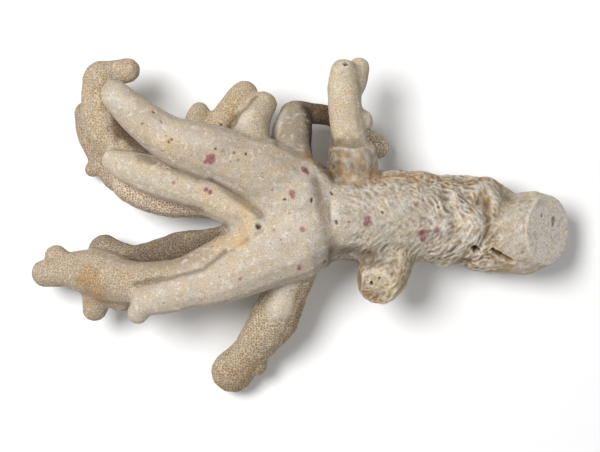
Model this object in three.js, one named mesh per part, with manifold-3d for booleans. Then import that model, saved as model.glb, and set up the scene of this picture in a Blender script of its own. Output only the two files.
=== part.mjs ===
// A branching coral skeleton, about 350 mm long, lying on its side as it rests on a table.
// One thick trunk, sawn off square at the right, opens into a flat palm, and every branch
// grows from the palm or the trunk. It is split at its forks, one solid a branch.
// Millimetres. +X runs along the trunk to the sawn end, +Z up, the origin is the bottom
// centre of the whole piece.

import * as THREE from 'three';
import { mergeVertices } from 'three/addons/utils/BufferGeometryUtils.js';
import Module from 'manifold-3d';

const wasm = await Module();
wasm.setup();

// Driving dimensions
const forkGap = 0.3; // clearance between two solids where the coral forks
const waistX = 19; // where the trunk ends and the palm begins
const sawCut = { centre: [162.2, -2.5, 45], facing: [0.73, 0, 0.68] };
const breakFace = { centre: [48, -40, 63], facing: [-0.3, -0.6, 0.74] }; // across the stub's end
const cutReach = 60; // half the side of the block that a flat cut takes off
const ringStep = 10.5; // spacing of the rings along a branch
const capRings = 3; // rings in each round tip
const trunkSides = 20;
const branchSides = 13;

// Every limb is a list of bends [x, y, z, radius], from its root to its tip.
const limbs = {
  trunk: [
    [[5, 6, 55, 30], [19, 6, 54, 30], [39, 6, 51, 29], [59, 7, 47, 29.5], [79, 6, 42, 29],
      [99, 4, 36, 29], [112, 3, 31.5, 29], [124, 0, 29.5, 30], [137, -3.5, 32, 25],
      [150, -3.5, 37, 26], [164, -2, 45, 22], [177, -2, 53, 19]],
  ],
  palm: [
    [[31, 12, 54, 23.5], [12, 15, 57, 23.5], [-5, 21, 60, 26], [-21, 28, 62, 24.5]],
    [[31, 3, 53, 25.5], [12, -1, 55, 27], [-4, -4, 57, 28], [-21, -9, 60, 26]],
  ],
  front_branch: [
    [[-10, 25, 62, 24.5], [-24, 33, 66, 23.5], [-40, 40, 71, 21], [-56, 46, 76, 18.5],
      [-73, 51, 80, 16], [-88, 58, 82, 14], [-101, 68, 82, 12.5], [-110, 76, 80, 11.5],
      [-117, 83, 79, 10]],
  ],
  lower_branch: [
    [[-3, -11, 60, 24.5], [-19, -19, 64, 20], [-37, -28, 66, 18], [-54, -36, 67, 15.5],
      [-72, -41, 67, 13], [-88, -46, 66, 11], [-100, -49, 64, 8.5]],
    [[-100, -50, 64, 7.5], [-104, -56, 62, 7]],
  ],
  middle_branch: [
    [[-14, 7, 60, 19.5], [-32, 12, 63, 17.5], [-50, 18, 65, 15], [-67, 24, 67, 13.5],
      [-85, 29, 67, 13], [-101, 35, 66, 12], [-113, 39, 64, 10], [-120, 42, 63, 7.5]],
  ],
  knobbly_branch: [
    [[-24, -4, 61, 11], [-41, -11, 64, 9], [-59, -19, 65, 8], [-77, -28, 63, 8],
      [-94, -33, 59, 10.5], [-112, -36, 52, 15], [-129, -32, 45, 17.5], [-147, -29, 39, 13],
      [-163, -30, 34, 10], [-168, -31, 33, 9]],
    [[-154, -26, 38, 9], [-160, -20, 38, 8]],
    [[-132, -39, 42, 10.5], [-135, -54, 37, 8.5]],
    [[-123, -37, 46, 13], [-117, -44, 42, 12]],
  ],
  slender_branch: [
    [[-29, -3, 52, 11], [-44, -5, 48, 7.5], [-62, -10, 45, 8], [-79, -13, 41, 10],
      [-94, -17, 35, 8], [-111, -20, 30, 7], [-129, -17, 25, 12]],
  ],
  rear_stem: [
    [[-31, 7, 52, 13], [-47, 13, 47, 11], [-65, 16, 42, 10.5], [-84, 17, 38, 12],
      [-101, 22, 35, 12], [-112, 28, 33, 12]],
  ],
  hooked_branch: [
    [[-92, 38, 42, 12], [-105, 44, 43, 13.5], [-117, 54, 45, 15], [-126, 65, 47, 14.5],
      [-131, 77, 49, 12.5], [-131, 87, 50, 11.5], [-129, 95, 51, 12.5]],
    [[-127, 97, 51, 10.5], [-119, 100, 52, 7.5], [-112, 101, 52, 8]],
  ],
  rear_branch: [
    [[-106, 24, 26, 10], [-120, 31, 21, 10], [-131, 43, 16, 9], [-139, 56, 12, 8.5],
      [-144, 71, 8.5, 9], [-144, 76, 8.5, 8.5]],
    [[-134, 41, 16, 6.5], [-139, 38, 15, 5.5]],
  ],
  drooping_branch: [
    [[-1, -16, 50, 17], [-7, -32, 45, 17], [-12, -49, 40, 15], [-18, -63, 34, 16],
      [-28, -77, 26, 13], [-36, -87, 20, 12.5], [-45, -97, 14.4, 14.5]],
    [[-35, -87, 22, 9.5], [-29, -92, 21, 8]],
  ],
  tall_branch: [
    [[34, 20, 56, 15.5], [32, 39, 58, 13.5], [32, 55, 61, 11.5], [30, 71, 63, 11],
      [28, 87, 65, 11], [28, 99, 66, 8.5]],
    [[32, 84, 61, 7.5], [37, 94, 58, 7], [38, 102, 57, 7]],
    [[36, 67, 60, 9], [40, 68, 59, 7.5]],
    [[34, 32, 57, 16], [34, 43, 58, 15]],
  ],
  shoulder_branch: [
    [[-5, 35, 58, 15.5], [-6, 49, 54, 13.5], [-5, 61, 50, 13], [-3, 71, 46, 11]],
  ],
  arched_branch: [
    [[-1, 74, 44, 8], [12, 73, 38, 7], [24, 71, 31, 7], [35, 62, 25, 8], [51, 53, 19, 8.5]],
  ],
  right_finger: [
    [[-33, 49, 66, 13.5], [-31, 64, 64, 11.5], [-28, 71, 61, 10.5], [-24, 78, 59, 9]],
  ],
  middle_finger: [
    [[-57, 55, 64, 10.5], [-51, 67, 61, 8.5], [-44, 77, 57, 8.5], [-36, 86, 53, 8.5]],
  ],
  left_finger: [
    [[-69, 60, 66, 8.5], [-66, 68, 62, 7.5], [-65, 73, 60, 7]],
  ],
  broken_stub: [
    [[59, -8, 46, 19.5], [56, -22, 52, 17.5], [52, -34, 56, 16.5]],
  ],
};

// Bare skeleton: worn cream in front, tan honeycomb behind, ochre crust on the trunk.
const colours = {
  trunk: '#b9ab98',
  palm: '#cdc2b1',
  front_branch: '#d2c7b5',
  lower_branch: '#cbbfae',
  middle_branch: '#cfc3b1',
  knobbly_branch: '#bfae93',
  slender_branch: '#a3937a',
  rear_stem: '#a3937f',
  hooked_branch: '#bda988',
  rear_branch: '#ad9a80',
  drooping_branch: '#b6a182',
  tall_branch: '#bcaa90',
  shoulder_branch: '#a59a8c',
  arched_branch: '#86796a',
  right_finger: '#c0b29c',
  middle_finger: '#b7a78d',
  left_finger: '#b0a28c',
  broken_stub: '#b89f78',
};

// One limb: a sphere drawn out along its curve, so it is closed and round at both tips.
function limb(bends, sides, grow) {
  const path = new THREE.CatmullRomCurve3(bends.map(([x, y, z]) => new THREE.Vector3(x, y, z)));
  const girth = new THREE.SplineCurve(bends.map(([, , , r], i) => new THREE.Vector2(i, r)));
  const steps = Math.max(2, Math.round(path.getLength() / ringStep));
  const frames = path.computeFrenetFrames(steps, false);

  // A ring is a step along the path and an angle: -90 degrees is the root's pole, 90 the tip's.
  const rings = [];
  for (let i = -capRings; i < 0; i++) rings.push([0, i / capRings]);
  for (let step = 0; step <= steps; step++) rings.push([step, 0]);
  for (let i = 1; i <= capRings; i++) rings.push([steps, i / capRings]);

  const shape = new THREE.SphereGeometry(1, sides, rings.length - 1);
  const points = shape.attributes.position;
  for (let i = 0; i < points.count; i++) {
    const row = Math.floor(i / (sides + 1));
    const [step, lean] = rings[rings.length - 1 - row];
    const turn = ((i % (sides + 1)) / sides) * 2 * Math.PI;
    const radius = girth.getPoint(path.getUtoTmapping(step / steps)).y + grow;
    const width = radius * Math.cos((lean * Math.PI) / 2);
    const point = path.getPointAt(step / steps)
      .addScaledVector(frames.tangents[step], radius * Math.sin((lean * Math.PI) / 2))
      .addScaledVector(frames.normals[step], -width * Math.cos(turn))
      .addScaledVector(frames.binormals[step], -width * Math.sin(turn));
    points.setXYZ(i, point.x, point.y, point.z);
  }
  return shape;
}

function toSolid(geometry) {
  geometry.deleteAttribute('normal');
  geometry.deleteAttribute('uv');
  const welded = mergeVertices(geometry, 1e-3);
  const kept = [];
  const index = welded.index.array;
  for (let i = 0; i < index.length; i += 3) {
    const [a, b, c] = [index[i], index[i + 1], index[i + 2]];
    if (a !== b && b !== c && c !== a) kept.push(a, b, c);
  }
  return new wasm.Manifold(new wasm.Mesh({
    numProp: 3,
    vertProperties: welded.attributes.position.array,
    triVerts: new Uint32Array(kept),
  }));
}

function toGeometry(solid) {
  const { vertProperties, triVerts } = solid.getMesh();
  const geometry = new THREE.BufferGeometry();
  geometry.setAttribute('position', new THREE.BufferAttribute(vertProperties, 3));
  geometry.setIndex(new THREE.BufferAttribute(triVerts, 1));
  geometry.computeVertexNormals();
  return geometry;
}

// All the limbs of one piece, joined; grow swells them to cut a clearance in a neighbour.
function joined(name, grow = 0) {
  const sides = name === 'trunk' || name === 'palm' ? trunkSides : branchSides;
  return limbs[name]
    .map((bends) => toSolid(limb(bends, sides, grow)))
    .reduce((whole, next) => whole.add(next));
}

// The block beyond a plane, for a flat cut: facing is the way the cut face looks.
function beyond({ centre, facing }) {
  const box = new THREE.BoxGeometry(2 * cutReach, 2 * cutReach, 2 * cutReach);
  box.translate(cutReach, 0, 0);
  const turn = new THREE.Quaternion().setFromUnitVectors(
    new THREE.Vector3(1, 0, 0), new THREE.Vector3(...facing).normalize(),
  );
  box.applyQuaternion(turn);
  box.translate(...centre);
  return toSolid(box);
}

const flatCuts = {
  trunk: [beyond(sawCut), beyond({ centre: [waistX, 0, 50], facing: [-1, 0, 0] })],
  palm: [beyond({ centre: [waistX - forkGap, 0, 50], facing: [1, 0, 0] })],
  broken_stub: [beyond(breakFace)],
};

// A cut can leave a loose crumb beside the piece: only the piece is kept.
function largest(solid) {
  return solid.decompose().sort((a, b) => b.volume() - a.volume())[0];
}

const coral = new THREE.Group();
coral.name = 'coral';

const grown = [];
for (const name of Object.keys(limbs)) {
  let solid = joined(name);
  for (const cut of [...(flatCuts[name] ?? []), ...grown]) solid = solid.subtract(cut);
  solid = largest(solid);
  let swollen = joined(name, forkGap);
  if (name === 'trunk') {
    swollen = swollen.subtract(beyond({ centre: [waistX - forkGap, 0, 50], facing: [-1, 0, 0] }));
  }
  grown.push(swollen);
  const material = new THREE.MeshStandardMaterial({
    color: colours[name], roughness: 0.9, metalness: 0,
  });
  const mesh = new THREE.Mesh(toGeometry(solid), material);
  mesh.name = name;
  coral.add(mesh);
}

// Stand the bottom centre of the whole piece on the origin.
const extent = new THREE.Box3().setFromObject(coral);
const middle = extent.getCenter(new THREE.Vector3());
coral.position.set(-middle.x, -middle.y, -extent.min.z);

export default coral;
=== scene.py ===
"""The looks of a staghorn coral skeleton that lies on a pale table.

The cut and joined solids give the branches their places. Here they are fused into one
grown surface, roughened and pitted the way coral is, and split again at the forks.
Lengths are millimetres until the pieces are made, and metres from there on.
"""

import bpy
import numpy as np
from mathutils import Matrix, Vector
from mathutils.bvhtree import BVHTree


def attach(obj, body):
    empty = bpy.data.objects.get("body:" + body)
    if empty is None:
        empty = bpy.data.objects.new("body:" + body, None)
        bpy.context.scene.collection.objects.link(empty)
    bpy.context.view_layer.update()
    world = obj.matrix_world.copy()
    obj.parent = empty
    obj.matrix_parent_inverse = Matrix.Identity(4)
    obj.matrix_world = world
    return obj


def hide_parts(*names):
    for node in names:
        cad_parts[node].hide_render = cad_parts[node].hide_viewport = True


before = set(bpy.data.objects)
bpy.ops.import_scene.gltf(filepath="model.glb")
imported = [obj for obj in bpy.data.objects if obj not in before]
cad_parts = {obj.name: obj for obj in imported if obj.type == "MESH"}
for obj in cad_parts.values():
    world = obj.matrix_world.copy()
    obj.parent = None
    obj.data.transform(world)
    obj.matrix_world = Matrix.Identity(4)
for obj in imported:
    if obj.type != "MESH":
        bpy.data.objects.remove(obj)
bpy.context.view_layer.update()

MM = 0.001
SKIN_GRAIN = 1.4  # side of a surface patch before it is divided once
FUSE = 0.3  # how far the solids swell, so that they meet across the gaps at the forks
CUP_SPACING = 1.75  # one polyp's cup to the next
SMOOTHING = 10  # passes that take the steps out of the fused skin
WEB_PASSES = 3  # passes that raise the hollows of the forks into webs
WEB_STEP = 0.25  # the most that a web rises in one pass
WEB_SHARE = 0.8  # how much of a hollow one pass fills
FUSE_BACK = 0.8  # how much of the swelling is taken off again
BORDER_PASSES = 8  # rounds of voting that even out where one branch ends
CUP_RIM, CUP_FLOOR = 0.03, 0.24  # where a cup starts and is deepest, in shares of spacing
FRESH_CUP_DEPTH = 0.34
WORN_CUP_DEPTH = 0.10  # what the waves have left of a cup
BORE_SHARE = 0.38  # a bored hole's radius in widths: its soft rim makes up the rest
BORE_RIM = 0.45
SCAB_HEIGHT = 0.3  # how far a scab stands proud
LEDGE_HEIGHT = 1.0  # how far the crust stands out at the tall branch's foot
DIRT_AND_SHADE_BEND = 0.055  # how hollow the surface is where dirt and painted shade are thickest
DEEPEST_GROOVE = 3.0
FORK_BLEND = 60  # passes that blend two branches' tones
PATCH_BLEND = 8  # passes that soften where wear and crust end
EDGE_BLEND = 12  # passes that soften where the cups close and the ledge ends
RIM_BLEND = 9  # passes that round the light on the rim of the sawn face
LID_DEPTH = 2.5  # how far in from the surface the hidden lid at a fork starts

# The saw's plane at the foot of the trunk
SAW_CENTRE = np.array([161.77, -1.4, 45.0])
SAW_FACING = np.array([0.73, 0.0, 0.68]) / np.hypot(0.73, 0.68)
SAW_RADIUS = 31.0  # how far from its centre the plane still counts
SAW_REACH = 1.0  # how near the plane a point is counted as sawn
SAW_ROUGHNESS = 0.12  # how far the sawn face strays from flat
SAWN_TONE = "#f0eae1"
SAWN_SHARE = 0.75  # how much of that tone the sawn face takes

# Each branch: the finish of its skeleton, the tone of its bone before pits and stains, and
# how open its cups are. The arched, slender and rear branches' dark tones are partly brown stain
# and partly painted shade
BRANCHES = {
    "trunk": ("crusted_skeleton", "#bcb3a4", 0.5),
    "palm": ("worn_skeleton", "#bfb5a6", 0.3),
    "front_branch": ("worn_skeleton", "#b1a594", 0.4),
    "lower_branch": ("worn_skeleton", "#bbb0a0", 0.4),
    "middle_branch": ("worn_skeleton", "#b9ae9c", 0.4),
    "knobbly_branch": ("honeycomb_skeleton", "#a59784", 0.6),
    # painted shade: the slender branch's tone is darkened for lying deep behind other branches,
    # over its brown stain
    "slender_branch": ("honeycomb_skeleton", "#8c8172", 0.9),
    "rear_stem": ("honeycomb_skeleton", "#b3a594", 1.0),
    "hooked_branch": ("honeycomb_skeleton", "#a99b86", 0.65),
    # painted shade: the rear branch's tone is darkened for lying behind the hooked branch, over
    # its brown stain
    "rear_branch": ("honeycomb_skeleton", "#9d8e7c", 0.85),
    "drooping_branch": ("honeycomb_skeleton", "#a49783", 0.9),
    "tall_branch": ("honeycomb_skeleton", "#b9ad99", 0.35),
    "shoulder_branch": ("honeycomb_skeleton", "#8e8576", 0.35),
    # painted shade: the arched branch's dark brown is partly its stain and partly the deep shade
    # it lies in
    "arched_branch": ("honeycomb_skeleton", "#5d4b39", 1.0),
    "right_finger": ("honeycomb_skeleton", "#aca08b", 0.4),
    "middle_finger": ("honeycomb_skeleton", "#aa9a81", 0.55),
    "left_finger": ("honeycomb_skeleton", "#a59885", 0.5),
    "broken_stub": ("crusted_skeleton", "#c3b498", 0.4),
}
NAMES = list(BRANCHES)
WORN = ("palm", "front_branch", "lower_branch", "middle_branch")
CRUSTED = ("trunk", "broken_stub")

# Grooves where two branches press together, and the hollow round the waist, as seen from
# above: the places the groove runs through, its half width and its depth
GROOVES = [
    ([(-56, 29), (-47, 24), (-38, 18), (-29, 11.5), (-25.5, 8)], 2.6, 3.0),
    ([(-48, -15.5), (-62, -26), (-82, -32), (-96, -34.5), (-105, -36.5)], 2.0, 2.6),
    ([(-25, -2), (-34, -8), (-48, -15.5)], 1.8, 1.2),
    ([(-29, 84), (-35, 77), (-40.5, 71), (-44.5, 64)], 2.0, 2.6),
    ([(10, 30), (13.5, 17.5), (17.5, 3.5), (20.5, -11), (17, -24)], 4.0, 2.2),
    ([(-18, 66), (-17, 58), (-15, 52)], 2.0, 1.8),
    ([(120, 15), (121.5, 8), (122, 0), (120, -6)], 2.4, 2.2),
    ([(92, 22), (96, 10), (98, -3)], 4.0, 1.6), ([(153, 13), (147, 9), (143, 6)], 1.2, 0.7),
]

# Flat faces where the coral broke: place, the way the face looks, how far it reaches
BREAKS = [
    ((46.5, -42, 64.5), (-0.15, -0.45, 0.88), 22), ((38, -34, 58), (-0.97, -0.1, 0.2), 14),
    ((56, -50, 54), (0.4, -0.85, 0.35), 14),
]

# Lumps and hollows of the outline: place, radius, height
LUMPS = [
    ((78, 34, 55), 7, 2.0), ((122, 30, 45), 9, 3.4), ((104, 31, 45), 9, -1.6),
    ((136, 21, 42), 8, -3.2), ((152, 19, 46), 6, 2.6), ((95, -24, 42), 7, 2.6),
    ((108, -22, 44), 6, -3.0), ((131, -30, 36), 13, 3.2), ((24, -19, 50), 10, -1.5),
    ((34, 6, 82), 9, -1.0), ((22, 12, 84), 7, 1.2), ((88, 8, 70), 10, -0.9),
    ((120, 10, 58), 8, -1.6), ((112, 24, 54), 8, 1.4), ((124, -4, 60), 6, -1.4),
    ((52, -22, 62), 8, -1.0), ((40, -38, 62), 6, 1.2), ((63, -28, 66), 6, 1.5),
    ((26, 46, 62), 6, 1.6), ((40, 44, 64), 7, 2.0), ((33, 46, 70), 7, 1.2),
    ((31, -17, 69), 7, -2.6), ((45, -20, 66), 6, -2.0), ((80, 6, 70), 5, -1.4),
    ((84, -6, 70), 5, -1.4), ((112, 3, 62), 8, 2.2), ((117, 25, 53), 7, 2.8),
    ((116, 18, 58), 4, -2.6), ((112, -8, 59), 5, 1.8), ((66, 14, 72), 7, 1.0),
    ((56, 20, 68), 6, -1.0), ((100, 20, 60), 5, 1.4), ((90, -16, 60), 6, 1.6),
    ((150, -26, 36), 9, 1.6), ((34.5, 99, 63), 5, 2.4), ((-46, -34, 80), 7, -0.9),
    ((-60, -33, 82), 6, -0.8), ((-33, -20, 84), 7, -1.0),
]

# Worm and date-mussel holes seen from above: from, to, width, depth
HOLES = [
    ((-27, 1.5), (-26.5, 0.5), 3.6, 4.0), ((-10, 17.5), (-10, 17.5), 2.0, 3.0),
    ((7.4, 17.8), (7.6, 16.6), 2.0, 2.2), ((19.6, 22.6), (20, 21.6), 2.0, 2.0),
    ((22.3, 3.8), (22.8, 2.6), 2.0, 2.0), ((15, -23.2), (16, -21.8), 2.0, 2.2),
    ((-23, 6), (-22.5, 5), 1.2, 1.2), ((-31.5, -20.5), (-32.5, -21.5), 1.3, 1.0),
    ((-92, 73), (-91.5, 72.5), 1.4, 1.6), ((-99, 65), (-99, 65), 1.6, 1.8),
    ((-80.5, 55), (-80.5, 55), 1.7, 2.0), ((-82.5, 53.5), (-82, 53), 1.5, 1.6),
    ((-87.5, 67.5), (-86.5, 66), 1.2, 1.2), ((-86.5, 48), (-86.5, 48), 1.4, 1.6),
    ((-53, 49.5), (-53, 49.5), 1.8, 1.8), ((-49, 48), (-48, 48), 1.2, 1.2),
    ((-42, 47), (-41, 47), 1.4, 1.6), ((-34, 46.5), (-34, 46.5), 1.8, 2.4),
    ((-38.5, 42.5), (-39.5, 42.5), 1.2, 1.0), ((-50.5, 66), (-50.5, 66), 2.4, 1.6),
    ((-87, -48), (-87, -48), 1.6, 0.8), ((-97, 51.5), (-95, 50), 1.2, 1.0),
    ((157, 8), (157.3, 7.6), 1.9, 3.0), ((161, -12), (161, -12), 1.2, 1.0),
    ((167, -5.5), (167, -6), 1.0, 1.0), ((51.5, 10), (52.5, 9.5), 1.3, 1.6),
    ((84.5, 29.5), (85.5, 29.5), 1.6, 1.8), ((88, 13.5), (89, 13), 1.4, 1.4),
    ((112, -12.5), (115, -15.5), 5.0, 6.0), ((124.5, -14.5), (131, -18.5), 4.0, 4.0),
    ((131, -18.5), (137.5, -21.5), 5.6, 6.0), ((28.5, 104.5), (29.5, 105), 3.2, 2.0),
    ((45.5, -36), (45.5, -34.5), 1.5, 1.8), ((50, -33), (50.5, -32), 1.3, 1.4),
]

# Red foraminifera that crust over the skeleton: place, width, redness
SCABS = [
    ((-56.5, 43), 6.4, 0.6), ((-55.5, 44), 4.0, 0.85), ((-59.5, 41), 2.6, 0.5),
    ((-60, 24), 2.8, 0.75), ((-57.5, 22.5), 2.8, 0.7), ((-80.5, 28.5), 1.8, 0.35),
    ((2.4, 36.8), 4.6, 1.0), ((3.8, 35.2), 4.2, 1.0), ((-5.5, 22), 3.8, 0.45),
    ((-5, 20), 3.0, 0.4), ((1, -1), 2.8, 0.3), ((-17.5, -1.5), 2.0, 0.25),
    ((-1.5, -24), 2.6, 0.5), ((-1, -25.5), 3.0, 0.5), ((42, 6), 4.2, 0.5), ((43, 3), 4.4, 0.6),
    ((40.5, 2.5), 2.6, 0.5), ((72.5, 14.5), 2.8, 0.5), ((77, -3.5), 5.2, 0.5),
    ((78, -7), 4.2, 0.45), ((80, -2), 2.8, 0.4), ((81, -10), 2.2, 0.9), ((84, -9.5), 2.4, 0.9),
    ((86.5, -1.5), 4.0, 0.35), ((30.5, 3.5), 1.6, 0.6), ((-38.5, -32.5), 2.0, 0.35),
    ((107.5, -7.5), 2.0, 0.4), ((28, 0), 1.4, 0.5), ((-18, 24), 1.3, 0.35),
]

# Where waves and sand have rubbed the cups off a rough branch: from, to, radius
RUBBED = [
    ((-12, -36, 62), (-13, -52, 54), 10.0), ((-37, 62, 72), (-36, 70, 71), 6.0),
    ((32, 66, 72), (36, 76, 70), 7.0), ((-80, -23, 70), (-122, -20, 60), 4.5),
    ((-45, -12, 75), (-80, -23, 70), 7.0), ((29, 98, 73), (34, 100, 66), 6.0),
    ((138, 4, 60), (160, 0, 52), 20.0), ((-6, 46, 70), (-3, 68, 60), 11.0),
]

# Broad colours that the sea left, and some painted shade and painted light: from, to, radius,
# colour, strength
STAINS_AND_PAINTED_LIGHT = [
    ((14, 24, 76), (14, -16, 78), 7, "#a19b92", 0.8),
    ((93, 22, 60), (93, -10, 62), 6, "#b8b0a4", 0.6),
    ((21.5, 16, 83), (21.5, 2, 83), 2.5, "#dcd6cb", 0.6),
    ((5, 44, 66), (10, 42, 66), 5, "#a98347", 0.8),
    ((-34, 10, 79), (-38, -8, 78), 6, "#c4a87e", 0.65),
    ((-52, -12, 72), (-38, -8, 78), 6, "#c4ab85", 0.5),
    ((30, 33, 70), (124, 30, 46), 5, "#b08f5f", 0.75),
    ((22, 43, 60), (28, 50, 66), 5, "#8c7350", 0.7),
    ((38, 46, 66), (42, 40, 66), 5, "#b59a6c", 0.6),
    ((122, 16, 56), (121, -6, 58), 4, "#8f7350", 0.8),
    ((118, 14, 56), (112, 20, 56), 5, "#a98a5c", 0.5),
    ((124, -14, 52), (138, -24, 46), 5, "#a4834f", 0.7),
    ((104, -16, 52), (116, -14, 54), 5, "#b39a70", 0.6),
    ((62.5, -28.5, 68), (64, -33, 65), 4, "#846339", 0.85),
    ((66, -38, 61), (60, -47, 56), 6, "#937b57", 0.6),
    ((36, -36, 54), (34, -24, 56), 5, "#9c7a48", 0.7),
    ((40, -44, 54), (58, -36, 52), 5, "#b3935e", 0.5),
    # painted shade: the trunk darker where its underside turns under
    ((25, -24, 62), (60, -27, 58), 7, "#6d665b", 0.7),
    ((80, -22, 50), (100, -20, 44), 6, "#a79a83", 0.6),
    ((-12, -36, 62), (-13, -52, 54), 8, "#ccc3b4", 0.8),
    ((-37, 62, 72), (-36, 70, 71), 5, "#c4bcac", 0.8),
    ((-2, -40, 40), (-8, -70, 34), 10, "#9c8264", 0.7),
    ((-48, -105, 23), (-36, -97, 29), 12, "#876b49", 0.35),
    # painted shade down the shoulder branch's right side, across the gap from the tall branch
    ((6.5, 77, 52), (6, 50, 54), 6, "#3d3023", 0.95),
    # painted shade along the slender branch, which lies in the shade of the branch in front
    ((-108, -19, 40), (-58, -9, 53), 8, "#5d5142", 0.75),
    ((-130, -9, 35), (-126, -14, 37), 7, "#8f8474", 0.8),
    ((-100, -29, 66), (-66, -18, 71), 4, "#8b7f6e", 0.4),
    # painted shade in the groove where the front branch overhangs the middle branch
    ((-100, 46, 74), (-66, 32, 79), 4.2, "#776854", 0.75),
    ((-70, 22, 44), (-50, 16, 50), 7, "#8b7a67", 0.7),
    # painted shade on the hooked branch's inner side, under the front branch
    ((-117, 82, 59), (-113, 64, 58), 8, "#544334", 0.75),
    ((-113, 64, 58), (-100, 52, 56), 8, "#544334", 0.85),
    # painted light: the arched branch's far lobe lightened, which lies in the tall branch's
    # shadow
    ((54, 55, 26), (47, 57, 28), 12, "#cabda9", 1.0),
    ((-138, -34, 60), (-131, -44, 54), 10, "#97794f", 0.6),
    ((100, 30, 51), (126, 29, 46), 3.2, "#7b5c37", 0.75),
    ((110, -25, 42), (150, -29, 37), 5, "#a98652", 0.6),
    ((96, 4, 66), (118, 2, 60), 13, "#e3d8c4", 0.6),
    # painted shade: more of the trunk's underside darkened where it turns under
    ((25, -16, 72), (54, -21, 66), 6.5, "#6d665b", 0.75),
    ((165.4, 5.8, 41), (165, 1.8, 41.5), 1.7, "#6f6961", 0.9),
    ((22, 47, 67), (22, 40, 67), 4, "#3f3020", 0.9),
    ((42, -42, 60), (52, -49, 52), 7, "#8f6a3c", 0.7),
    ((61, -42, 62), (61, -32, 64), 7, "#d3be9a", 0.6),
    ((-64, 14, 72), (-76, 11, 70), 4, "#6e604e", 0.6),
    ((19, 48, 65), (21, 36, 68), 10, "#5c4b34", 0.9),
    ((30, 48, 73), (40, 40, 74), 10, "#776a54", 0.8),
    ((149, 16, 50), (154, 18, 46), 5, "#a08c6c", 0.6),
    # painted light: the shoulder branch's left side lightened, which faces away from the lamps
    ((-18, 61, 58), (-14, 74, 53), 5.5, "#b5b0a6", 0.85),
    ((40, -25, 63), (37, -38, 60), 4, "#8f7146", 0.75),
    ((-86, 62, 94), (-60, 56, 92), 7, "#c6beb2", 0.5),
    ((-116, 83, 84), (-112, 79, 89), 7, "#c3beb3", 0.6),
    ((-76, 50, 96), (-90, 56, 94), 6, "#cbb08a", 0.3),
    ((-62, 20, 82), (-44, 12, 82), 6, "#cbb290", 0.4),
]


def linear(colour):
    """A colour's linear values from its sRGB hex."""
    parts = [int(colour[i:i + 2], 16) / 255 for i in (1, 3, 5)]
    return [c / 12.92 if c <= 0.04045 else ((c + 0.055) / 1.055) ** 2.4 for c in parts]


def ramp(value, start, end):
    """0 at start, 1 at end, eased; start may be the larger."""
    t = np.clip((value - start) / (end - start), 0, 1)
    return t * t * (3 - 2 * t)


def noise(points, size, seed):
    """A smooth random field from -1 to 1, with lumps about size wide, the same each run."""
    side = 64  # the field repeats after this many lumps
    table = np.random.default_rng(seed).uniform(-1, 1, (side, side, side))
    place = points / size
    cell = np.floor(place).astype(int)
    part = place - cell
    part = part * part * (3 - 2 * part)
    total = np.zeros(len(points))
    for corner in range(8):
        step = np.array([corner & 1, corner >> 1 & 1, corner >> 2 & 1])
        weight = np.where(step, part, 1 - part).prod(axis=1)
        i, j, k = ((cell + step) % side).T
        total += weight * table[i, j, k]
    return total


def to_segment(points, start, end):
    """How far each point is from a straight line between two places."""
    start, end = np.array(start, float), np.array(end, float)
    along = end - start
    share = np.clip((points - start) @ along / max(along @ along, 1e-9), 0, 1)
    return np.linalg.norm(points - start - share[:, None] * along, axis=1)


def cad_solid(name):
    """A branch's solid as welded points and triangles."""
    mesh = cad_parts[name].data
    points = np.empty(3 * len(mesh.vertices))
    mesh.vertices.foreach_get("co", points)
    mesh.calc_loop_triangles()
    corners = np.empty(3 * len(mesh.loop_triangles), int)
    mesh.loop_triangles.foreach_get("vertices", corners)
    points = points.reshape(-1, 3) / MM
    _, first, same = np.unique(points.round(3), axis=0, return_index=True, return_inverse=True)
    return points[first], same.ravel()[corners].reshape(-1, 3)


def normals_of(points, faces):
    """Which way the surface looks at each point."""
    first, second, third = points[faces[:, 0]], points[faces[:, 1]], points[faces[:, 2]]
    if faces.shape[1] == 4:
        facing = np.cross(third - first, points[faces[:, 3]] - second)
    else:
        facing = np.cross(second - first, third - first)
    total = np.zeros_like(points)
    for corner in faces.T:
        for axis in range(3):
            total[:, axis] += np.bincount(corner, facing[:, axis], len(points))
    return total / np.maximum(np.linalg.norm(total, axis=1), 1e-12)[:, None]


def rings_of(faces, count):
    """For a closed surface: every step from a point to a neighbour, and each point's count."""
    start, end = faces.ravel(), np.roll(faces, -1, axis=1).ravel()
    return start, end, np.bincount(start, minlength=count)


def around(values, rings):
    """Each point's average over its neighbours."""
    start, end, degree = rings
    if values.ndim == 1:
        return np.bincount(start, values[end], len(degree)) / degree
    return np.stack([around(column, rings) for column in values.T], axis=1)


def spread(values, rings, passes):
    """Each point's value blended over its neighbours, again and again."""
    for _ in range(passes):
        values = around(values, rings)
    return values


def mesh_of(name, points, faces):
    """A mesh of faces that all have the same number of corners."""
    mesh = bpy.data.meshes.new(name)
    mesh.from_pydata(points.tolist(), [], faces.tolist())
    return mesh


def modified(points, faces, kind, settings):
    """A passing object and its mesh after one modifier."""
    lump = bpy.data.objects.new("lump", mesh_of("lump", points, faces))
    bpy.context.scene.collection.objects.link(lump)
    modifier = lump.modifiers.new(kind, kind)
    for key, value in settings.items():
        setattr(modifier, key, value)
    return lump, lump.evaluated_get(bpy.context.evaluated_depsgraph_get()).to_mesh()


def reshaped(points, faces, kind, **settings):
    """The surface after one modifier, as points and four-sided faces."""
    lump, made = modified(points, faces, kind, settings)
    points = np.empty(3 * len(made.vertices))
    made.vertices.foreach_get("co", points)
    faces = np.empty(len(made.loops), int)
    made.loops.foreach_get("vertex_index", faces)
    bpy.data.objects.remove(lump)
    return points.reshape(-1, 3), faces.reshape(-1, 4)


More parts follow.
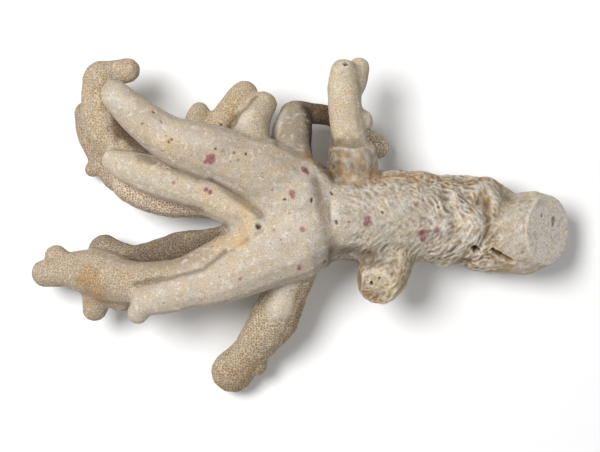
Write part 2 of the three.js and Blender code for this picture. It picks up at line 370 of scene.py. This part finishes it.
def fused_skin():
    """One closed surface round all the branches, smooth, with webs grown in the forks."""
    all_points, all_faces, count = [], [], 0
    for name in NAMES:
        points, faces = cad_solid(name)
        all_points.append(points + FUSE * normals_of(points, faces))
        all_faces.append(faces + count)
        count += len(points)
    points, faces = reshaped(
        np.concatenate(all_points), np.concatenate(all_faces),
        "REMESH", mode="VOXEL", voxel_size=SKIN_GRAIN,
    )
    rings = rings_of(faces, len(points))
    free = saw_free(points)[:, None]
    for _ in range(SMOOTHING):
        points = relaxed(points, rings, free)
    for _ in range(WEB_PASSES):
        normals = normals_of(points, faces)
        lift = ((around(points, rings) - points) * normals).sum(axis=1)
        lift = around(np.clip(lift, 0, WEB_STEP), rings)[:, None]
        points = relaxed(points + WEB_SHARE * free * lift * normals, rings, free)
    points -= FUSE_BACK * FUSE * free * normals_of(points, faces)
    return points, faces


def relaxed(points, rings, free):
    """Smoother, and no smaller: each step in is followed by a slightly longer step out."""
    for push in (0.5, -0.52):
        points = points + push * free * (around(points, rings) - points)
    return points


def saw_free(points):
    """0 on the sawn face and 1 away from it."""
    depth = np.abs((points - SAW_CENTRE) @ SAW_FACING)
    beside = np.linalg.norm(points - SAW_CENTRE, axis=1)
    return np.where((depth < SAW_REACH) & (beside < SAW_RADIUS), 0.0, 1.0)


def flat_on_saw(points, mask):
    """The masked points laid exactly on the saw's plane."""
    depth = (points - SAW_CENTRE) @ SAW_FACING
    return np.where(mask[:, None], points - depth[:, None] * SAW_FACING, points)


def split_by_branch(points, rings):
    """Which branch each point belongs to, by the nearest solid, with no stray islands."""
    corners, triangles, owners, count = [], [], [], 0
    for index, name in enumerate(NAMES):
        own, faces = cad_solid(name)
        corners += own.tolist()
        triangles += (faces + count).tolist()
        owners += [index] * len(faces)
        count += len(own)
    tree = BVHTree.FromPolygons(corners, triangles)
    owner = np.array([owners[tree.find_nearest(p)[2]] for p in points.tolist()])
    start, end, _ = rings
    for _ in range(BORDER_PASSES):
        votes = np.stack([
            np.bincount(start, owner[end] == i, len(points)) for i in range(len(NAMES))
        ])
        votes[owner, np.arange(len(points))] += 1.5
        owner = votes.argmax(axis=0)
    alike = owner[start] == owner[end]
    group = np.arange(len(points))
    while True:
        low = np.minimum(group[start[alike]], group[end[alike]])
        merged = group.copy()
        np.minimum.at(merged, group[start[alike]], low)
        merged = merged[merged]
        if (merged == group).all():
            break
        group = merged
    size = np.bincount(group, minlength=len(points))
    main = np.array([np.argmax(size * (owner == i)) for i in range(len(NAMES))])
    stray = group != main[owner]
    while stray.any():
        reach = stray[start] & ~stray[end]
        owner[start[reach]] = owner[end[reach]]
        stray[start[reach]] = False
    return owner


def add(tree, kind, inputs=(), **settings):
    """Adds one node with its settings, and its inputs by name or number: a value or a link."""
    made = tree.nodes.new(kind)
    for key, value in settings.items():
        setattr(made, key, value)
    for key, value in dict(inputs).items():
        if isinstance(value, bpy.types.NodeSocket):
            tree.links.new(value, made.inputs[key])
        else:
            made.inputs[key].default_value = value
    return made


def inside_cups(points, faces):
    """How far inside its cup each point is, 0 on a wall, in shares of the spacing."""
    tree = bpy.data.node_groups.new("cups", "GeometryNodeTree")
    for side in ("INPUT", "OUTPUT"):
        tree.interface.new_socket("Skin", in_out=side, socket_type="NodeSocketGeometry")
    start = add(tree, "NodeGroupInput").outputs[0]
    cells = add(tree, "ShaderNodeTexVoronoi", {"Scale": 1 / CUP_SPACING, "Randomness": 0.8},
                feature="DISTANCE_TO_EDGE")
    kept = add(tree, "GeometryNodeStoreNamedAttribute", {
        "Geometry": start, "Name": "cup", "Value": cells.outputs["Distance"],
    }, data_type="FLOAT", domain="POINT")
    add(tree, "NodeGroupOutput", {0: kept.outputs[0]})
    lump, made = modified(points, faces, "NODES", {"node_group": tree})
    inside = np.empty(len(points))
    made.attributes["cup"].data.foreach_get("value", inside)
    bpy.data.objects.remove(lump)
    return inside


# Grow the surface
points, faces = fused_skin()
sawn = saw_free(points) == 0
points = flat_on_saw(points, sawn)
points, faces = reshaped(points, faces, "SUBSURF", levels=1)
sawn = saw_free(points) == 0
points = flat_on_saw(points, sawn)
rings = rings_of(faces, len(points))
normals = normals_of(points, faces)
owner = split_by_branch(points, rings)
free = 1.0 - sawn
top = BVHTree.FromPolygons(points.tolist(), faces.tolist())


def on_top(x, y):
    """The place where a plumb line first meets the coral."""
    hit = top.ray_cast(Vector((x, y, 200)), Vector((0, 0, -1)))[0]
    return np.array(hit) if hit else np.array([x, y, 60.0])


# How each part of the surface has fared
is_branch = {name: (owner == i).astype(float) for i, name in enumerate(NAMES)}
x, y, z = points.T
up = normals[:, 2] + 0.25 * noise(points, 9, 1)
wear = sum(is_branch[n] for n in WORN) * ramp(up, -0.25, 0.3)
crust = sum(is_branch[n] for n in CRUSTED)
wear, crust = spread(wear, rings, PATCH_BLEND), spread(crust, rings, PATCH_BLEND)
uneven = noise(points, 5, 2)
for start, end, radius in RUBBED:
    away = to_segment(points, start, end) + 1.5 * uneven
    wear = np.maximum(wear, ramp(away, radius + 1.5, radius - 1.5))
collar = ramp(y + 0.25 * (z - 60) + 1.6 * uneven, 55, 52)
collared = spread(is_branch["tall_branch"], rings, EDGE_BLEND)
crust = crust * ramp(x + 3 * uneven, 20, 34)
crust = np.maximum(crust, collar * collared)
neck = ramp(x + 2 * uneven, 122, 134)
crust = np.clip(crust * (1 - 0.55 * neck), 0, 1) * free
wear = np.clip(np.maximum(wear, sum(is_branch[n] for n in CRUSTED) * (1 - crust)), 0, 1)

# Growth swellings on every branch, and a gnarled crust on the trunk
lift = 0.7 * noise(points, 17, 3) + 0.3 * noise(points, 6.5, 4) * (1 - 0.4 * wear)
lift += 0.12 * noise(points, 2.6, 5)
wind = ramp(y, 14, -10)  # the crust's folds turn as they go round the trunk
# Coarse and fine folds run along each way, nearly 3 and nearly 2 mm apart
folds = []
for way in ((1, -1, -0.3), (1, 1, 0.4)):
    way = np.array(way) / np.linalg.norm(way)
    along = points @ way
    squeezed = points - 0.6 * along[:, None] * way
    squeezed = squeezed + 1.0 * noise(points, 7, 6)[:, None]
    folds.append(
        0.5 * (1 - 2.4 * np.abs(noise(squeezed, 2.9, 8)))
        + 0.34 * (1 - 2.4 * np.abs(noise(squeezed, 1.8, 9)))
    )
rough = folds[0] * (1 - wind) + folds[1] * wind
rough += 0.9 * noise(points, 9, 10) + 0.2 * noise(points, 1.5, 11)
lift += crust * rough * (0.55 + 0.4 * ramp(x, 70, 100))
lift += crust * ramp(x, 70, 95) * noise(points, 7, 16)
lift += (LEDGE_HEIGHT - 0.4 * rough) * collar * collared
for place, radius, height in LUMPS:
    away = np.linalg.norm(points - place, axis=1)
    lift += height * np.exp(-((away / radius) ** 2))
points = points + (lift * free)[:, None] * normals

# Grooves are pressed straight down, and the stub's end is broken off flat
groove = np.zeros(len(points))
for places, width, depth in GROOVES:
    places = [on_top(*place) for place in places]
    away = np.min([to_segment(points, a, b) for a, b in zip(places, places[1:])], axis=0)
    groove = np.maximum(groove, depth * np.exp(-((away / width) ** 2)))
points[:, 2] -= groove
for place, facing, reach in BREAKS:
    facing = np.array(facing) / np.linalg.norm(facing)
    over = (points - place) @ facing + 0.05 * uneven
    over = np.maximum(over, 0) * ramp(np.linalg.norm(points - place, axis=1), reach, 0.6 * reach)
    points = points - (over * is_branch["broken_stub"])[:, None] * facing
points = points + 0.35 * free[:, None] * (around(points, rings) - points)

# A patch of surface goes to the branch that has most of its corners
votes = np.stack([
    (owner[faces] == i).sum(axis=1) + 0.5 * (owner[faces[:, 0]] == i) for i in range(len(NAMES))
])
face_owner = votes.argmax(axis=0)

# Polyp cups, open where the branch is fresh and faint where it is worn
grown = points.copy()
cup = ramp(inside_cups(points, faces), CUP_RIM, CUP_FLOOR)
openness = np.array([open_share for _, _, open_share in BRANCHES.values()])[owner]
openness = spread(openness, rings, EDGE_BLEND)
fresh = (1 - wear) * (1 - 0.85 * crust) * free * openness
normals = normals_of(points, faces)
sink = FRESH_CUP_DEPTH * cup * fresh + WORN_CUP_DEPTH * cup * wear * free

# Holes and scabs
hollow = np.zeros(len(points))
scab = np.zeros(len(points))
redness = np.zeros(len(points))
ragged = 0.5 * noise(points, 2.0, 12) + 0.3 * noise(points, 1.1, 13)
for start, end, width, depth in HOLES:
    away = to_segment(points, on_top(*start), on_top(*end))
    radius = BORE_SHARE * width
    bore = ramp(away + 0.25 * ragged, radius + BORE_RIM, radius - BORE_RIM)
    sink = np.maximum(sink, depth * bore)
    hollow = np.maximum(hollow, bore * min(1, depth / 1.6))
for place, width, red in SCABS:
    away = np.linalg.norm(points - on_top(*place), axis=1) + 0.9 * ragged
    patch = ramp(away, width / 2 + 0.9, width / 2 - 0.7)
    redness = np.where(patch > scab, red, redness)
    scab = np.maximum(scab, patch)
sink = sink * (1 - 0.8 * scab) - SCAB_HEIGHT * scab
points = points - sink[:, None] * normals
flat = flat_on_saw(points, sawn & (hollow < 0.05))
points = flat + (sawn * SAW_ROUGHNESS * noise(points, 1.6, 17))[:, None] * SAW_FACING
points[:, 2] = np.maximum(points[:, 2], 0.0)
normals = normals_of(points, faces)
face_share = spread(sawn.astype(float), rings, RIM_BLEND)
smooth_normals = spread(normals, rings, RIM_BLEND)
rim = (4 * face_share * (1 - face_share))[:, None]
normals = normals * (1 - rim) + smooth_normals * rim
normals /= np.linalg.norm(normals, axis=1)[:, None]

# Dirt gathers in hollows, and the hollows are darkened as painted shade too: bend is above 0
# where the surface is hollow
bend = spread(((around(points, rings) - points) * normals).sum(axis=1), rings, 2)
dirt_and_shade = np.clip(bend / DIRT_AND_SHADE_BEND, -1, 1)

# The bone's own tone, blended across the forks, then the broad stains, with the painted shade
# and light among them
tones = np.array([linear(tone) for _, tone, _ in BRANCHES.values()])
bone_and_painted_light = spread(tones[owner], rings, FORK_BLEND)
bone_and_painted_light = bone_and_painted_light + SAWN_SHARE * face_share[:, None] * (np.array(linear(SAWN_TONE)) - bone_and_painted_light)
blotch = uneven + 0.5 * noise(points, 2.5, 14)
for start, end, radius, colour, strength in STAINS_AND_PAINTED_LIGHT:
    away = to_segment(points, start, end) + 0.35 * radius * blotch
    share = strength * ramp(away, radius * 1.5, radius * 0.4)[:, None]
    bone_and_painted_light = bone_and_painted_light * (1 - share) + np.array(linear(colour)) * share

mud = np.clip(crust * (0.25 + 0.5 * ramp(x, 60, 112) + 0.7 * ramp(y, 17, 29)), 0, 1)

# The fields the finishes read: the hollowness and the groove depth among them also paint shade
FIELDS = {
    "fresh": fresh, "wear": wear, "crust": crust, "hollow": hollow, "scab": scab, "mud": mud,
    "redness": redness, "dirt_and_shade": dirt_and_shade, "sawn": face_share, "groove": groove / DEEPEST_GROOVE,
}


def skeleton(name, roughness, grain_depth):
    """Aragonite, the lime of a coral skeleton: matt, chalky, and never quite one colour."""
    material = bpy.data.materials.new(name)
    material.use_nodes = True
    tree = material.node_tree
    tree.nodes.clear()
    place = add(tree, "ShaderNodeAttribute", attribute_name="grown").outputs["Vector"]
    bone_and_painted_light = add(tree, "ShaderNodeAttribute", attribute_name="bone_and_painted_light").outputs["Color"]
    field = {
        key: add(tree, "ShaderNodeAttribute", attribute_name=key).outputs["Fac"]
        for key in FIELDS
    }

    def stretched(value, low, high, **settings):
        """0 at low and 1 at high, and no further."""
        return add(tree, "ShaderNodeMapRange", {
            "Value": value, "From Min": low, "From Max": high,
        }, **settings).outputs["Result"]

    def cloud(size, detail, low, high):
        """Noise with lumps about size wide, stretched so that it runs from 0 to 1."""
        made = add(tree, "ShaderNodeTexNoise", {
            "Vector": place, "Scale": 1 / size, "Detail": detail,
        })
        return stretched(made.outputs["Fac"], low, high)

    def times(*parts):
        """A product of shares, each a link or a number."""
        total = parts[0]
        for part in parts[1:]:
            product = add(tree, "ShaderNodeMath", {0: total, 1: part}, operation="MULTIPLY")
            total = product.outputs[0]
        return total

    def shaded(under, by, share):
        """Darker or lighter than it was, by a factor a channel."""
        return add(tree, "ShaderNodeMix", {0: share, 6: under, 7: (*by, 1)},
                   data_type="RGBA", blend_type="MULTIPLY").outputs[2]

    def tint(under, over, share):
        """One colour laid over another."""
        over = over if isinstance(over, bpy.types.NodeSocket) else (*linear(over), 1)
        return add(tree, "ShaderNodeMix", {0: share, 6: under, 7: over},
                   data_type="RGBA").outputs[2]

    # Peach and grey drifts, fingertip size
    colour = shaded(bone_and_painted_light, (1.05, 0.95, 0.78), times(cloud(8, 5, 0.47, 0.62), 0.6))
    colour = shaded(colour, (0.8, 0.83, 0.88), times(cloud(9, 4, 0.5, 0.68), 0.5))

    # Rubbed bone: chalky flecks, brown flecks, and the pinholes of boring sponges
    colour = tint(colour, "#eee9e0", times(cloud(3.6, 6, 0.54, 0.66), field["wear"], 0.26))
    colour = tint(colour, "#a5845c", times(cloud(2.2, 5, 0.58, 0.7), field["wear"], 0.45))
    pins = add(tree, "ShaderNodeTexVoronoi", {"Vector": place, "Scale": 1 / 5.5})
    rare = stretched(add(tree, "ShaderNodeSeparateColor", {
        "Color": pins.outputs["Color"]}).outputs[0], 0.55, 0.6)
    pin = stretched(pins.outputs["Distance"], 0.11, 0.07)
    colour = tint(colour, "#5e4228", times(pin, rare, field["wear"], 0.75))

    # Crust: ochre mud in patches, darker in the folds with mud and painted shade, and pale on
    # the ridges with pale lime and a painted highlight
    colour = tint(colour, "#93703f", times(cloud(6, 5, 0.45, 0.6), field["mud"], 0.65))
    colour = tint(colour, "#9b9a94", times(cloud(5, 5, 0.5, 0.62), field["crust"], 0.35))
    sunk = stretched(field["dirt_and_shade"], 0.0, 1.0)
    proud = stretched(field["dirt_and_shade"], 0.0, -1.0)
    colour = tint(colour, "#64503a", times(sunk, field["crust"], 0.7))
    veins = add(tree, "ShaderNodeTexNoise", {
        "Vector": place, "Scale": 1 / 4.5, "Detail": 4, "Distortion": 0.6, "Offset": 1.0,
    }, noise_type="RIDGED_MULTIFRACTAL")
    vein = stretched(veins.outputs["Fac"], 1.25, 1.95)
    colour = tint(colour, "#6b4f2c", times(vein, field["crust"], 0.55))
    # Every hollow, on every branch, is a little darker: silt and painted shade
    colour = tint(colour, "#6b5b48", times(sunk, 0.22))
    colour = tint(colour, "#f2ece1", times(proud, field["crust"], 0.5))
    # Painted shade along the grooves where branches press together and round the waist, which
    # also browns the trunk's ring grooves
    colour = tint(colour, "#63523f", times(field["groove"], 0.6))

    # Each cup is brown inside with silt and darkened as painted shade, and its wall catches the
    # light
    cells = add(tree, "ShaderNodeTexVoronoi", {
        "Vector": place, "Scale": 1 / CUP_SPACING, "Randomness": 0.8,
    }, feature="DISTANCE_TO_EDGE").outputs["Distance"]
    cup = stretched(cells, 0.06, 0.16, interpolation_type="SMOOTHSTEP")
    wall = stretched(cells, 0.13, 0.05)
    silt_and_shade = add(tree, "ShaderNodeMath", {0: cloud(8, 3, 0.3, 0.7), 1: 0.3, 2: 0.5},
               operation="MULTIPLY_ADD").outputs[0]
    colour = shaded(colour, (0.5, 0.43, 0.36), times(cup, field["fresh"], silt_and_shade))
    colour = shaded(colour, (1.6, 1.57, 1.52), times(wall, field["fresh"], 0.9))
    colour = tint(colour, "#8a6d4b", times(cup, field["wear"], 0.14))

    # Grain of the crystals: a tenth of a millimetre really, drawn coarser so that it shows
    grain = cloud(0.9, 4, 0.3, 0.7)
    colour = shaded(colour, (0.55, 0.5, 0.44), times(stretched(grain, 0.5, 0.0), 0.4))
    colour = shaded(colour, (1.3, 1.3, 1.3), times(stretched(grain, 0.5, 1.0), 0.7))

    # The sawn face is bare inner bone, greyer and duller
    colour = tint(colour, "#94836d", times(cloud(3, 5, 0.48, 0.66), field["sawn"], 0.35))

    # Scabs of red foraminifera, deep red where thick
    red = tint((*linear("#99616c"), 1), "#6e1f2b", field["redness"])
    red = tint(red, "#5d2730", times(cloud(1.1, 3, 0.5, 0.65), 0.5))
    thick = stretched(cloud(2, 3, 0.3, 0.6), -1.6, 1.0)
    colour = tint(colour, red, times(field["scab"], thick, 0.9))

    # Bored holes are dark with silt
    colour = tint(colour, "#563617", times(field["hollow"], 0.9))

    relief = add(tree, "ShaderNodeMath", {0: grain, 1: cloud(0.55, 3, 0.3, 0.7)},
                 operation="ADD").outputs[0]
    relief = add(tree, "ShaderNodeMath", {0: relief, 1: times(vein, field["crust"], 2.0)},
                 operation="SUBTRACT").outputs[0]
    bump = add(tree, "ShaderNodeBump", {
        "Height": relief, "Strength": 0.6, "Distance": grain_depth * MM,
    })
    surface = add(tree, "ShaderNodeBsdfPrincipled", {
        "Base Color": colour, "Roughness": roughness, "IOR": 1.53,
        "Specular IOR Level": 0.35, "Normal": bump.outputs["Normal"],
    })
    add(tree, "ShaderNodeOutputMaterial", {"Surface": surface.outputs["BSDF"]})
    return material


# Each finish: its name, its roughness, and how deep its grain is in millimetres. Lime that
# a living coral laid down and that has since dried out is matt all over.
FINISHES = {
    # Rolled in sand and surf until the cups are almost gone: creamy, nearly smooth, with
    # faint dimples, pale flecks and pinholes
    "worn_skeleton": skeleton("wave_worn_aragonite", 0.82, 0.17),
    # Overgrown by lime and silt while it lay on the sea bed: the dullest and roughest, with
    # pale ridges, brown cracks and ochre mud
    "crusted_skeleton": skeleton("mud_crusted_aragonite", 0.88, 0.3),
    # As the polyps left it: a net of pale walls round brown cups, which reads as cloth-like
    # from afar
    "honeycomb_skeleton": skeleton("fresh_honeycomb_aragonite", 0.85, 0.12),
}


def open_loops(part):
    """The rims of a part of the surface, each as a ring of points."""
    start, end = part.ravel(), np.roll(part, -1, axis=1).ravel()
    paired = np.isin(start * len(points) + end, end * len(points) + start)
    follow = {}
    for a, b in zip(start[~paired].tolist(), end[~paired].tolist()):
        follow.setdefault(a, []).append(b)
    loops = []
    while follow:
        first = next(iter(follow))
        loop, here = [], first
        while here in follow:
            loop.append(here)
            after = follow[here].pop()
            if not follow[here]:
                del follow[here]
            here = after
        loops.append(loop)
    return loops


def make_piece(index, name):
    """One branch as its own closed piece: a fork is closed by a lid sunk inside the coral."""
    mine = faces[face_owner == index]
    used, local = np.unique(mine, return_inverse=True)
    new_number = dict(zip(used.tolist(), range(len(used))))
    source, places = used.tolist(), points[used].tolist()
    all_faces = local.reshape(-1, 4).tolist()
    for loop in open_loops(mine):
        sunk = points[loop] - LID_DEPTH * normals[loop]
        ring = [new_number[i] for i in loop]
        first = len(source)
        source += loop + [loop[0]]
        places += sunk.tolist() + [sunk.mean(axis=0).tolist()]
        inner, hub = list(range(first, first + len(loop))), first + len(loop)
        for k, (a, b) in enumerate(zip(ring, ring[1:] + ring[:1])):
            c, d = inner[k], inner[(k + 1) % len(loop)]
            all_faces += [[b, a, c, d], [d, c, hub]]
    mesh = bpy.data.meshes.new(name)
    mesh.from_pydata((np.array(places) * MM).tolist(), [], all_faces)
    source = np.array(source)
    for key, values in FIELDS.items():
        layer = mesh.attributes.new(key, "FLOAT", "POINT")
        layer.data.foreach_set("value", values[source].astype(np.float32))
    layer = mesh.attributes.new("bone_and_painted_light", "FLOAT_COLOR", "POINT")
    rgba = np.concatenate([bone_and_painted_light[source], np.ones((len(source), 1))], axis=1)
    layer.data.foreach_set("color", rgba.astype(np.float32).ravel())
    layer = mesh.attributes.new("grown", "FLOAT_VECTOR", "POINT")
    layer.data.foreach_set("vector", grown[source].astype(np.float32).ravel())
    outward = np.zeros((len(source), 3))
    outward[:len(used)] = normals[used]
    mesh.shade_smooth()
    mesh.normals_split_custom_set_from_vertices(outward.tolist())
    finish = BRANCHES[name][0]
    made = bpy.data.objects.new(name + "_skin", mesh)
    made.data.materials.append(FINISHES[finish])
    bpy.context.scene.collection.objects.link(made)
    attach(made, "root")
    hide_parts(name)


for index, name in enumerate(NAMES):
    make_piece(index, name)

# A plain pale table, two soft lamps and a camera straight above
table_mesh = mesh_of(
    "table", np.array([[-6, -6, 0], [6, -6, 0], [6, 6, 0], [-6, 6, 0]], float),
    np.array([[0, 1, 2, 3]]),
)
table = bpy.data.objects.new("table", table_mesh)
bpy.context.scene.collection.objects.link(table)
paper = bpy.data.materials.new("white_paper")
paper.use_nodes = True
paper_inputs = paper.node_tree.nodes["Principled BSDF"].inputs
paper_inputs["Base Color"].default_value = (0.9, 0.9, 0.9, 1)
paper_inputs["Roughness"].default_value = 0.9
table_mesh.materials.append(paper)

LIT_PLACE = (0, 0, 0.05)


def add_light(name, place, size, power):
    """A soft round lamp that looks at the middle of the coral."""
    lamp = bpy.data.lights.new(name, "AREA")
    lamp.shape, lamp.size, lamp.energy = "DISK", size, power
    holder = bpy.data.objects.new(name, lamp)
    holder.location = place
    holder.rotation_mode = "QUATERNION"
    holder.rotation_quaternion = (Vector(LIT_PLACE) - Vector(place)).to_track_quat("-Z", "Y")
    bpy.context.scene.collection.objects.link(holder)


add_light("key", (-0.62, 0.3, 1.45), 0.7, 26)
add_light("fill", (0.5, -0.2, 1.8), 1.2, 5)

sky = bpy.data.worlds.new("studio")
sky.use_nodes = True
sky_inputs = sky.node_tree.nodes["Background"].inputs
sky_inputs["Color"].default_value = (1, 1, 1, 1)
sky_inputs["Strength"].default_value = 0.24
bpy.context.scene.world = sky

# A long lens 1.2 m up, so that near and far branches keep their proportions
lens = bpy.data.cameras.new("camera")
lens.sensor_width, lens.lens = 36, 106.15
lens.clip_start, lens.clip_end = 0.1, 20
camera = bpy.data.objects.new("camera", lens)
camera.location = (-0.00043, 0.0011, 1.2)
bpy.context.scene.collection.objects.link(camera)
bpy.context.scene.camera = camera
bpy.context.scene.view_settings.view_transform = "Standard"
